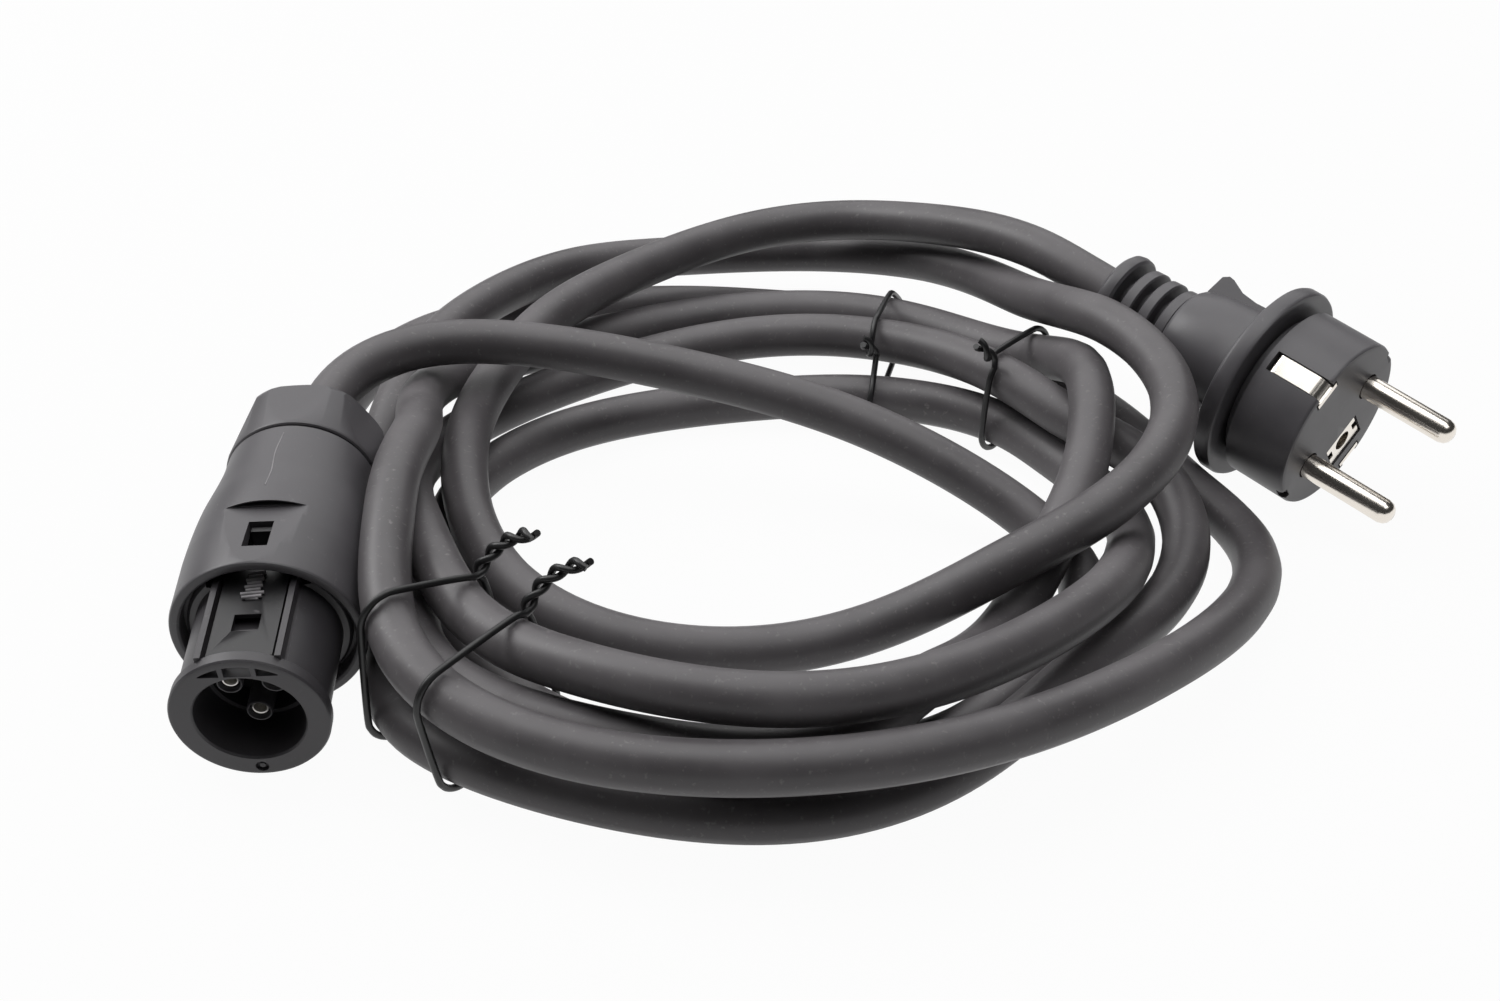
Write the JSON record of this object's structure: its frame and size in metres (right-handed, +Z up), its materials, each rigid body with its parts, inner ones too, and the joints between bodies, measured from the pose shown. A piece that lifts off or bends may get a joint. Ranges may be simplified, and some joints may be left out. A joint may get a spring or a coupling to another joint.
{
  "type": "solar cable connector with coiled cord and plug",
  "caption": "Round field connector with a coded mouth, snap latch and gland nut, on a coiled rubber cord held by wire ties and ending in a straight earthed mains plug.",
  "frame": {"origin": "middle of the connector's outline at its lowest point, on the floor it lies on", "axes": "+Y from the mating face toward the cable, +X to the right when looking along +Y, +Z up"},
  "size_m": [0.228, 0.2123, 0.0409],
  "materials": {
    "dark_moulding": "satin moulded",
    "black_insert": "satin moulded",
    "cable_rubber": "matte, faintly scuffed",
    "seal_rubber": "matte",
    "brass_contact": "turned",
    "screw_steel": "plated",
    "nickel": "bright plated",
    "tie_wire": "coated wire",
    "core_brown": "smooth",
    "core_blue": "smooth",
    "core_green_yellow": "smooth"
  },
  "bodies": {
    "cord_set": {"outer_shell": "dark_moulding", "contact_housing": "dark_moulding", "contact_carrier": "black_insert", "housing_o_ring": "seal_rubber", "gland_seal": "seal_rubber", "cable_connector_lead": "cable_rubber", "cable_coil": "cable_rubber", "cable_plug_lead": "cable_rubber", "tie_back_left": "tie_wire", "tie_back_right": "tie_wire", "tie_front_left": "tie_wire", "tie_front_right": "tie_wire", "plug_body": "dark_moulding", "plug_grip": "dark_moulding", "strain_relief": "dark_moulding", "line_pin": "nickel", "neutral_pin": "nickel", "earth_clip_upper": "nickel", "earth_clip_lower": "nickel", "earth_plate": "nickel", "line_socket": "brass_contact", "terminal_screw_line": "screw_steel", "connector_core_line": "core_brown", "plug_core_line": "core_brown", "neutral_socket": "brass_contact", "terminal_screw_neutral": "screw_steel", "connector_core_neutral": "core_blue", "plug_core_neutral": "core_blue", "earth_socket": "brass_contact", "terminal_screw_earth": "screw_steel", "connector_core_earth": "core_green_yellow", "plug_core_earth": "core_green_yellow"},
    "claw": {"clamp_claw": "black_insert"},
    "nut": {"gland_nut": "dark_moulding"},
    "latch": {"latch_tongue": "dark_moulding"}
  },
  "joints": [
    {"name": "gland_travel", "type": "slide", "parent": "cord_set", "child": "claw", "axis": [0, 0.9848, 0.1736], "range_m": [0, 0.004]},
    {"name": "gland_turn", "type": "hinge", "parent": "claw", "child": "nut", "pos_m": [0, -0.03473, 0.01275], "axis": [0, 0.9848, 0.1736], "range_deg": [0, 720]},
    {"name": "latch_flex", "type": "hinge", "parent": "cord_set", "child": "latch", "pos_m": [-0.00057, -0.03228, 0.02418], "axis": [0.9986, -0.0091, 0.0515], "range_deg": [-2.8, 0], "stiffness_Nm_per_rad": 0.05}
  ],
  "couplings": [
    {"joint": "gland_turn", "follows": "gland_travel", "rad_per_m": 3141.6}
  ]
}
